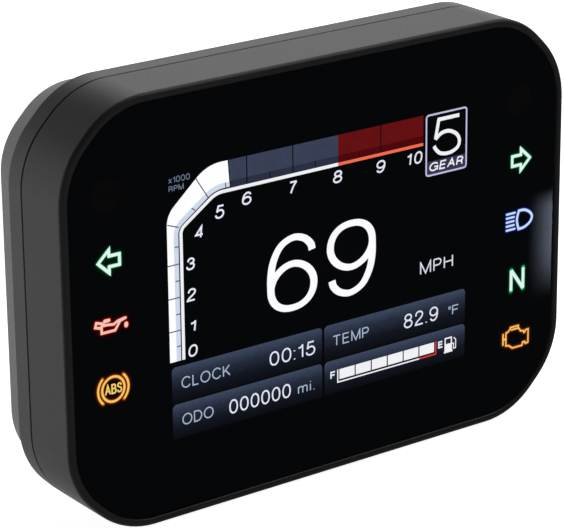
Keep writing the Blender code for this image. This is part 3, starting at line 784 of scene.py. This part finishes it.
def make_header():
    """Plug-in header: shroud with keying ribs, a latch ramp and chamfered contacts."""
    centre = centre_mm("connector_seal")
    low, high = corners_mm("connector_header")
    back, front = high[1], low[1]
    plastic = MATERIALS["header_plastic"]
    body, flange, flange_front, flange_back = (15.0, 6.0), (17.5, 7.9), 21.5, 22.9
    section = [(body, front), (body, flange_front), (flange, flange_front), (flange, flange_back)]
    section += [(body, flange_back), (body, back - 0.3), ((14.7, 5.7), back)]
    loops = [loop(round_outline(*half, 1.5, steps=6), depth, centre) for half, depth in section]
    header = loft("plug_header", loops, plastic)
    top = centre[1] + body[1]
    ramp = [(30.3, top - 0.5), (33.0, top - 0.5), (33.0, top + 1.3), (32.6, top + 1.3), (30.3, top)]
    latch = loft("latch_ramp", [[at(x, depth, z) for depth, z in ramp] for x in (-3.5, 3.5)], plastic)
    floor, socket, flare = 23.5, (13.2, 4.2), (13.7, 4.7)
    mouth = [(socket, floor), (socket, back - 0.5), (flare, back + 0.05), (flare, back + 1)]
    mouth_loops = [loop(round_outline(*half, 0.8), depth, centre) for half, depth in mouth]
    boolean(header, [latch], "UNION")
    boolean(header, [loft("mouth", mouth_loops, plastic)], "DIFFERENCE")
    ribs = []
    for x in (-9.0, 9.0):
        for side in (-1, 1):
            outline = bar(-0.5, 0.5, -0.5, 0.5)
            place = (centre[0] + x, centre[1] + side * 4.0)
            ribs.append(plate("keying_rib", outline, floor - 0.5, back - 1.5, plastic, place))
    boolean(header, ribs, "UNION")
    holes = []
    for node in named("connector_pin"):
        (_, root, _), (_, tip, _) = corners_mm(node)
        place = centre_mm(node)
        hole = bar(-0.8, 0.8, -0.8, 0.8)
        holes.append(plate("pin_hole", hole, front - 1, floor + 1, plastic, place))
        section = [(0.5, root), (0.5, tip - 1.2), (0.42, tip - 0.6), (0.2, tip)]
        loops = [loop(round_outline(h, h, 0.12, steps=2), depth, place) for h, depth in section]
        pin = loft(node.replace("connector", "header"), loops, MATERIALS["contact"])
        ride(pin, "contact", node)
    boolean(header, holes, "DIFFERENCE")
    settle(header)
    even_normals(header)
    ride(header, "header_plastic", "connector_header")


def make_vent():
    """Breather: a cap on a stem, with a vent slot between the ribs of its rim."""
    centre, plastic = centre_mm("breather_vent"), MATERIALS["vent_plastic"]
    low, high = corners_mm("breather_vent")
    back, radius = high[1], (high[0] - low[0]) / 2
    stem, cap_front, slot_front, edge = 2.2, 26.8, 26.5, 0.4
    profile = [(stem, low[1]), (stem, cap_front), (radius, cap_front)]
    profile += arc(radius - edge, back - edge, edge, 0, 90, steps=5)
    profile += [(2.6, back), (2.4, back - 0.2), (1.8, back - 0.2)]
    cap = turned("vent_cap", profile, centre, plastic)
    slots = []
    for i in range(6):
        turn = math.radians(30 + 60 * i)
        place = centre[0] + radius * math.cos(turn), centre[1] + radius * math.sin(turn)
        slots.append(plate("vent_slot", circle_outline(0.6, 16), slot_front, back + 1, plastic, place))
    boolean(cap, slots, "DIFFERENCE")
    settle(cap)
    ride(cap, "vent_plastic", "breather_vent")


# Display: engine speed

WHITE = srgb(250, 250, 255)

BAND_TOP, BAND_LEFT, BAND_FOOT = 25.55, -35.5, -11.1
LINE_Z = 19.78
RED_FROM, BAND_END = 3.6, 24.15


def make_engine_speed():
    outer = [(BAND_LEFT, BAND_FOOT), (BAND_LEFT, 17.64, 4.8), (-26.46, BAND_TOP, 8.2), (-21.8, BAND_TOP)]
    inner = [(-33.05, BAND_FOOT), (-33.05, 14.69, 2.5), (-24.77, 20.4, 6.4), (-21.45, 20.4)]
    sweep = rounded(outer) + rounded(inner)[::-1]
    lit("speed_sweep", [sweep], 1, WHITE, 1.1, 0.03)
    shade = rounded([(-33.55, BAND_FOOT), (-33.55, 14.9, 2.8), (-24.9, 20.9, 6.8), (-21.55, 20.9)])
    lit("speed_sweep_shade", ribbon(shade, 1.0), 2, srgb(214, 226, 244), unevenness=0.1)

    line = rounded([(-32.45, BAND_FOOT), (-32.45, 14.4, 1.8), (-24.5, LINE_Z, 5.0), (RED_FROM, LINE_Z)])
    lit("speed_scale_line", ribbon(line, 0.66), 2, WHITE)
    red_line = ribbon([(RED_FROM, LINE_Z), (BAND_END, LINE_Z)], 0.6)
    lit("speed_limit_line", red_line, 2, srgb(255, 110, 80))

    low, foot = 20.2, 21.5
    grey = [[(-21.55, BAND_TOP), (-21.25, low), (RED_FROM, low), (RED_FROM, BAND_TOP)]]
    red = [bar(RED_FROM, BAND_END, low, BAND_TOP)]
    lit("speed_scale_grey", grey, 1, srgb(62, 70, 94), unevenness=0.25)
    lit("speed_scale_grey_foot", [bar(-21.3, RED_FROM, low, foot)], 2, srgb(44, 50, 68))
    lit("speed_scale_red", red, 1, srgb(108, 18, 20), unevenness=0.25)
    lit("speed_scale_red_foot", [bar(RED_FROM, BAND_END, low, foot)], 2, srgb(80, 8, 12))

    majors = [bar(x - 0.13, x + 0.13, low, BAND_TOP) for x in (-17.55, -7.0, 13.75)]
    minors = [bar(x - 0.1, x + 0.1, low, foot) for x in (-12.3, -1.8, 8.6, 18.8)]
    lit("speed_scale_divisions", majors + minors, 3, srgb(14, 15, 24))
    across = [((BAND_LEFT, z), (-33.05, z)) for z in (7.85, 1.35, -5.1)]
    across += [((-35.4, 15.8), (-32.9, 14.9)), ((-28.9, 23.4), (-26.3, 19.3))]
    across += [((-33.9, z), (-33.05, z)) for z in (11.2, 4.6, -1.9, -8.2)]
    across += [((-30.0, 18.0), (-29.2, 17.4)), ((-22.4, 21.3), (-22.3, 20.4))]
    lit("sweep_divisions", [quad for pair in across for quad in ribbon(pair, 0.22)], 3, srgb(92, 78, 108))

    white = glow("dial_number", srgb(238, 238, 255))
    places = {
        "0": (-31.5, -29.2, -11.0, -8.6),
        "1": (-31.0, -29.5, -6.1, -3.8),
        "2": (-31.5, -29.3, 0.0, 2.5),
        "3": (-31.5, -29.4, 6.1, 8.5),
        "4": (-29.4, -27.3, 11.8, 14.2),
        "5": (-24.9, -22.6, 14.7, 17.3),
        "6": (-18.8, -16.4, 16.1, 18.6),
        "7": (-8.1, -6.0, 16.1, 18.6),
        "8": (2.3, 4.7, 16.1, 18.6),
        "9": (12.6, 15.0, 16.1, 18.6),
        "10": (20.0, 24.1, 16.1, 18.6),
    }
    for text, box in places.items():
        written(f"dial_number_{text}", text, box, 2, white, pen=0.36, slant=0.12, gap=42)
    unit = glow("dial_unit", srgb(112, 125, 150))
    written("dial_unit_factor", "x1000", (-34.9, -30.2, 23.6, 24.8), 1, unit, pen=0.16)
    written("dial_unit_rpm", "RPM", (-34.9, -31.6, 22.0, 23.1), 1, unit, pen=0.16)


# Display: gear and road speed


def make_gear():
    white = glow("gear_number", WHITE)
    corners = [(24.95, 25.3, 0.6), (34.95, 25.3, 0.6), (34.95, 13.1, 0.6), (24.95, 13.1, 0.6)]
    lit("gear_box", ribbon(rounded(corners, closed=True), 0.35, closed=True), 1, srgb(200, 200, 235))
    lit("gear_band", [bar(25.15, 34.75, 13.3, 15.95)], 1, srgb(52, 55, 82))
    written("gear_word", "GEAR", (25.6, 34.4, 13.85, 15.65), 2, white, pen=0.3, slant=0.22)
    five = [(33.1, 24.05), (28.0, 24.05), (27.2, 20.2)]
    bowl = curve([(27.2, 20.2), (28.7, 21.2), (30.6, 21.3), (32.5, 20.3), (33.2, 18.8), (32.6, 17.5),
                  (30.6, 16.85), (28.4, 17.2), (27.2, 18.3), (26.9, 18.9)])
    drawn("gear_number", ribbon(five, 0.75) + ribbon(bowl, 0.75), 2, white)


def make_road_speed():
    """A six, and the same shape turned half round for a nine."""
    stretch, pen, middle = 1.25, 1.32, (-7.35, 0.42)
    narrow = 5.06 / stretch
    bowl = ellipse((middle[0], -2.15), narrow, 4.42, 0, 180, steps=24, square=1.08)
    bowl += ellipse((middle[0], -2.15), narrow, 4.42, 180, 360, steps=24, square=0.9)[1:-1]
    hook = [(-12.41, -2.1), (-12.38, 0.6), (-11.75, 3.6), (-10.0, 6.3), (-7.2, 7.45)]
    hook += [(-4.7, 6.9), (-3.1, 5.5), (-2.65, 4.15)]
    hook = curve([(middle[0] + (x - middle[0]) / stretch, z) for x, z in hook])
    six = ribbon(bowl, pen, closed=True) + ribbon(hook, pen)
    six = widened(six, stretch, middle[0])
    nine = half_turned(six, middle, (6.7, middle[1]))
    white = glow("road_speed", WHITE, 1.1)
    for name, digit in (("tens", six), ("units", nine)):
        drawn(f"road_speed_{name}", digit, 2, white)
    lilac = glow("road_speed_unit", srgb(228, 228, 244))
    written("road_speed_unit", "MPH", (23.6, 31.9, -6.9, -4.3), 2, lilac, pen=0.29)


# Display: tiles

TILES = {
    "clock": (-35.2, -0.45, -19.4, -12.2),
    "temperature": (0.1, 35.1, -19.4, -12.2),
    "odometer": (-35.2, -0.45, -26.6, -19.65),
    "fuel": (0.1, 35.1, -26.6, -19.65),
}


def tile_material(name, low_z, high_z):
    """Slate that fades to near black at the foot of the tile, with a fine grain."""
    shader = Shader(name, (0.001, 0.001, 0.001), 0.6, Emission_Strength=1.0, Specular_IOR_Level=0.0)
    height = shader.node("SeparateXYZ", {"Vector": shader.place}).outputs["Z"]
    grain = shader.spread(shader.noise(0.5, detail=3.0), -0.12, 0.12)
    rise = shader.spread(height, 0.0, 1.0, low_z * MM, high_z * MM)
    level = shader.node("Math", {0: rise, 1: grain}, operation="ADD").outputs["Value"]
    shades = srgb(10, 12, 17), srgb(19, 23, 33), srgb(37, 44, 61), srgb(62, 73, 96)
    shader.feed("Emission Color", shader.blend(level, *shades))
    return shader.material


def make_tiles():
    for name, (low_x, high_x, low_z, high_z) in TILES.items():
        corners = [(low_x, low_z), (high_x, low_z), (high_x, high_z, 0.9), (low_x, high_z, 0.9)]
        material = tile_material(f"tile_{name}", low_z, high_z)
        drawn(f"tile_{name}", [rounded(corners, closed=True)], 1, material)

    white, dim = glow("tile_text", srgb(238, 240, 255)), glow("tile_text_dim", srgb(172, 190, 214))
    rows = {
        "clock_word": ("CLOCK", (-33.1, -22.0, -16.8, -14.5), dim),
        "clock_reading": ("00:15", (-12.9, -2.1, -17.3, -14.4), white),
        "odometer_word": ("ODO", (-33.1, -26.0, -24.2, -21.9), dim),
        "odometer_reading": ("000000", (-22.4, -8.0, -24.7, -21.8), white),
        "odometer_unit": ("mi.", (-6.3, -2.3, -24.6, -22.5), dim),
        "temperature_word": ("TEMP", (2.1, 10.9, -16.8, -14.6), dim),
        "temperature_reading": ("82.9", (19.6, 28.2, -17.3, -14.3), white),
        "temperature_unit": ("F", (31.8, 33.5, -17.1, -15.1), dim),
        "fuel_full": ("F", (1.5, 2.8, -23.5, -21.9), white),
        "fuel_empty": ("E", (28.3, 29.6, -23.5, -22.0), white),
    }
    for name, (text, box, material) in rows.items():
        written(name, text, box, 2, material, pen=0.33 if material == white else 0.25)
    degree = ribbon(ellipse((31.15, -15.5), 0.24, 0.26, steps=16), 0.18, closed=True)
    drawn("temperature_degree", degree, 2, dim)
    make_fuel_bar(glow("fuel_bar", WHITE))


def make_fuel_bar(white):
    foot, top, left, right = -24.45, -21.8, 3.3, 27.7
    warn_from = 23.5
    pitch, block, block_foot = 3.97, 3.68, -23.92
    starts = [left + 0.42 + pitch * i for i in range(6)]
    blocks = [bar(start, start + block, block_foot, top - 0.05) for start in starts]
    drawn("fuel_blocks", blocks, 2, white)
    drawn("fuel_outline", ribbon([(left, top), (left, foot), (warn_from, foot)], 0.28), 2, white)
    low_end = ribbon([(warn_from, foot), (right, foot), (right, top)], 0.28)
    lit("fuel_outline_low", low_end, 2, srgb(235, 60, 55))
    body = ribbon([(30.1, -24.5), (30.1, -21.8), (31.7, -21.8), (31.7, -24.5)], 0.3)
    body += ribbon([(29.8, -24.7), (32.0, -24.7)], 0.35) + [bar(30.1, 31.7, -24.6, -23.0)]
    hose = [(31.7, -23.2), (32.25, -23.2), (32.25, -24.3), (32.8, -24.3), (32.8, -22.5), (32.3, -22.0)]
    drawn("fuel_pump", body + ribbon(hose, 0.22), 2, white)


# Tell-tales


def tell_tale(name, strokes, colour, halo):
    """A lit symbol: its strokes, and a glow that fades in rings round them.

    A stroke is (path, width), then whether it is closed and how it ends."""
    core = [shape for path, width, *style in strokes for shape in ribbon(path, width, *style)]
    lit(f"telltale_{name}", core, 5, colour)
    rings = (0.2, 0.75), (0.45, 0.14), (0.85, 0.03), (1.4, 0.01)
    for ring, (wider, strength) in enumerate(rings, 1):
        around = []
        for path, width, *style in strokes:
            around += ribbon(path, width + wider, any(style[:1]), "round", joints="round")
        lit(f"telltale_{name}_glow_{ring}", around, 5 - ring, halo, strength)


def arrow(centre_x, centre_z, direction):
    tip, barb, tail, half_barb, half_shaft = 2.45, 0.1, -2.15, 2.2, 1.02
    side = [(tip, 0.0), (barb, half_barb), (barb, half_shaft), (tail, half_shaft)]
    path = side + [(x, -z) for x, z in side[:0:-1]]
    return [(centre_x + direction * x, centre_z + z) for x, z in path]


def make_tell_tales():
    green, green_halo = srgb(236, 255, 249), srgb(0, 190, 110)
    amber, amber_halo = srgb(255, 208, 108), srgb(225, 110, 15)
    for side, direction, x in (("left", -1, -48.05), ("right", 1, 48.95)):
        z = 11.65 if side == "left" else 11.85
        strokes = [(arrow(x, z, direction), 0.6, True)]
        tell_tale(f"turn_{side}", strokes, green, green_halo)

    can = [(-50.2, -0.35), (-50.2, -1.75), (-47.3, -1.75), (-46.2, -0.2), (-45.0, 0.15)]
    lid = [(-50.2, -0.35), (-49.0, -0.35), (-47.6, -0.55), (-46.7, -0.1), (-45.3, 0.15)]
    handle = [(-50.2, -0.75), (-51.55, -0.35), (-51.3, 0.5), (-50.0, 0.1), (-49.5, -0.3)]
    cap, drop = [(-49.5, 0.45), (-48.6, 0.45)], [(-44.9, -1.05), (-44.9, -1.35)]
    widths = (can, 0.48), (lid, 0.48), (handle, 0.48), (cap, 0.65), (drop, 0.8)
    strokes = [(path, width, False, "round") for path, width in widths]
    tell_tale("oil_pressure", strokes, srgb(255, 205, 185), srgb(235, 40, 35))

    hub = (-48.1, -13.08)
    strokes = [(ellipse(hub, 2.42, 2.42, steps=48), 0.42, True)]
    for start in (-47, 133):
        strokes.append((ellipse(hub, 3.3, 3.3, start, start + 94, steps=20), 0.4))
    tell_tale("abs", strokes, amber, amber_halo)
    letters_box = (-49.95, -46.2, -14.05, -12.05)
    written("telltale_abs_letters", "ABS", letters_box, 6, glow("abs_letters", amber), pen=0.3)

    front = [(50.3, 1.1), (51.7, 0.3), (52.25, -0.7), (51.7, -1.75), (50.3, -2.5)]
    lamp = curve([(48.75, 1.2), *front, (48.75, -2.65)])
    lamp += curve([(48.75, -2.65), (48.3, -0.7), (48.75, 1.2)])[1:-1]
    strokes = [(lamp, 0.52, True)]
    for row in range(5):
        z, end = 1.0 - row * 0.845, 47.75 - 0.3 * math.sin(row * math.pi / 4)
        strokes.append(([(45.6, z), (end, z)], 0.42, False, "round"))
    tell_tale("high_beam", strokes, srgb(206, 230, 255), srgb(60, 90, 220))

    n_shape = [(47.05, -15.5), (47.05, -11.1), (50.2, -15.5), (50.2, -11.1)]
    strokes = [(n_shape[:2], 0.7), (n_shape[1:3], 0.72), (n_shape[2:], 0.7)]
    tell_tale("neutral", strokes, green, green_halo)

    block = [(45.95, -24.3), (46.5, -24.2), (47.1, -23.6), (47.1, -23.4), (49.2, -23.4), (49.2, -23.9)]
    block += [(49.9, -24.75), (50.6, -24.85), (50.75, -25.3), (51.0, -25.2), (51.15, -24.8)]
    block += [(51.85, -24.75), (51.85, -27.65), (51.15, -27.75), (51.0, -27.3), (50.4, -27.3)]
    block += [(50.3, -27.95), (47.7, -27.95), (46.7, -27.2), (45.95, -27.1)]
    strokes = [(block, 0.3, True), ([(45.2, -24.5), (45.2, -26.7)], 0.34, False, "round")]
    strokes += [([(45.2, -25.6), (45.95, -25.6)], 0.4), ([(47.3, -23.95), (49.2, -23.95)], 0.3)]
    tell_tale("engine_check", strokes, amber, amber_halo)

    # The unlit shift lights are dark discs with a faint painted glow that stands in for the light they would
    # catch.
    unlit_painted_glow = glow("shift_light", srgb(10, 8, 8), unevenness=0.3)
    for node in ("led_shift_left", "led_shift_right"):
        disc = ellipse(centre_mm(node), 3.1, 3.1, steps=64)
        drawn(node.replace("led_", "") + "_disc", [disc], 1, unlit_painted_glow)


# Carried-over pieces, stage, light and camera


def paint_cad_nodes():
    for node in NODES.values():
        name = node.data.materials[0].name.split(".")[0] if node.data.materials else ""
        if name in MATERIALS:
            node.data.materials[0] = MATERIALS[name]


def area_light(name, place, size, power):
    """A lamp of the given size in metres, turned towards the cluster."""
    data = bpy.data.lights.new(name, "AREA")
    data.shape = "RECTANGLE"
    data.size, data.size_y = size
    data.energy = power
    lamp = bpy.data.objects.new(name, data)
    lamp.location = place
    lamp.rotation_euler = (-Vector(place)).to_track_quat("-Z", "Y").to_euler()
    bpy.context.scene.collection.objects.link(lamp)


def make_stage():
    mesh = bmesh.new()
    bmesh.ops.create_grid(mesh, x_segments=1, y_segments=1, size=4.0)
    shader = Shader("floor", (0.9, 0.9, 0.9), 0.9, Emission_Strength=0.93)
    shade = shader.blend(shader.noise(400.0), (0.88, 0.88, 0.88), (0.92, 0.92, 0.92))
    shader.feed("Base Color", shade)
    shader.main.inputs["Emission Color"].default_value = (1, 1, 1, 1)
    floor = finish_piece("floor", mesh, shader.material)
    floor.location.z = cad_box[0][2] - 0.0002
    floor.visible_glossy = floor.visible_transmission = False


def make_world():
    """A pale backdrop behind and to the right that fades out overhead, in front and to the left.

    A soft window stands low on the right in front: the display window reflects its edge."""
    world = bpy.data.worlds.new("studio")
    bpy.context.scene.world = world
    world.use_nodes = True
    nodes, links = world.node_tree.nodes, world.node_tree.links
    split = nodes.new("ShaderNodeSeparateXYZ")
    links.new(nodes.new("ShaderNodeTexCoord").outputs["Generated"], split.inputs[0])
    x, y, z = (split.outputs[axis] for axis in "XYZ")

    def fade(value, start, end, first=0.0, last=1.0):
        """first before start, last after end, and a smooth change between."""
        made = nodes.new("ShaderNodeMapRange")
        made.interpolation_type = "SMOOTHSTEP"
        links.new(value, made.inputs["Value"])
        settings = {"From Min": start, "From Max": end, "To Min": first, "To Max": last}
        for socket, setting in settings.items():
            made.inputs[socket].default_value = setting
        return made.outputs["Result"]

    def combined(operation, *values):
        total = values[0]
        for value in values[1:]:
            made = nodes.new("ShaderNodeMath")
            made.operation = operation
            links.new(total, made.inputs[0])
            links.new(value, made.inputs[1])
            total = made.outputs["Value"]
        return total

    side = fade(x, -0.6, 0.6, 0.85, 1.25)
    below, above = fade(z, -0.75, -0.3, 0.45, 1.0), fade(z, 0.30, 0.55, 1.0, 0.04)
    backdrop = combined("MULTIPLY", fade(y, -0.1, 0.5, 0.01, 1.0), side, below, above)
    across, rise = combined("DIVIDE", x, y), combined("DIVIDE", z, y)
    window = combined(
        "MULTIPLY",
        fade(across, -0.876, -0.904),
        fade(across, -1.1, -1.0),
        fade(rise, 0.438, 0.450),
        fade(rise, 0.497, 0.467),
        fade(y, -0.3, -0.5),
    )
    links.new(backdrop, nodes["Background"].inputs["Strength"])
    nodes["Background"].inputs["Color"].default_value = (1.0, 1.0, 1.01, 1)
    card = nodes.new("ShaderNodeBackground")
    card.inputs["Color"].default_value = (2.9, 3.4, 4.4, 1)
    links.new(window, card.inputs["Strength"])
    both = nodes.new("ShaderNodeAddShader")
    links.new(nodes["Background"].outputs[0], both.inputs[0])
    links.new(card.outputs[0], both.inputs[1])
    links.new(both.outputs[0], nodes["World Output"].inputs["Surface"])


def make_lights():
    area_light("key_above", (0.5, 0.55, 0.85), (0.7, 0.7), 3.3)
    area_light("side_left", (-0.95, 0.30, 0.0), (0.5, 0.4), 0.4)
    area_light("front_right", (0.55, -0.31, 0.74), (0.35, 0.35), 1.6)


def make_camera():
    yaw, pitch, roll = (math.radians(angle) for angle in (36.01, 19.70, -0.606))
    target, distance = Vector((-10.40, -28.01, 3.13)) * MM, 535.08 * MM
    data = bpy.data.cameras.new("camera")
    data.lens, data.sensor_width, data.sensor_fit = 182.0, 36.0, "HORIZONTAL"
    data.clip_start, data.clip_end = 0.01, 20.0
    camera = bpy.data.objects.new("camera", data)
    turns = (-yaw, "Z"), (math.pi / 2 - pitch, "X"), (roll, "Z")
    first, second, third = (Matrix.Rotation(angle, 4, axis) for angle, axis in turns)
    matrix = first @ second @ third
    matrix.translation = target + matrix.col[2].xyz * distance
    camera.matrix_world = matrix
    bpy.context.scene.collection.objects.link(camera)
    bpy.context.scene.camera = camera


def main():
    bpy.context.scene.view_settings.view_transform = "Standard"
    make_camera()
    make_bezel()
    make_window()
    make_rear_case()
    make_screws()
    make_inserts()
    make_buttons()
    make_header()
    make_vent()
    make_engine_speed()
    make_gear()
    make_road_speed()
    make_tiles()
    make_tell_tales()
    paint_cad_nodes()
    make_stage()
    make_world()
    make_lights()


main()
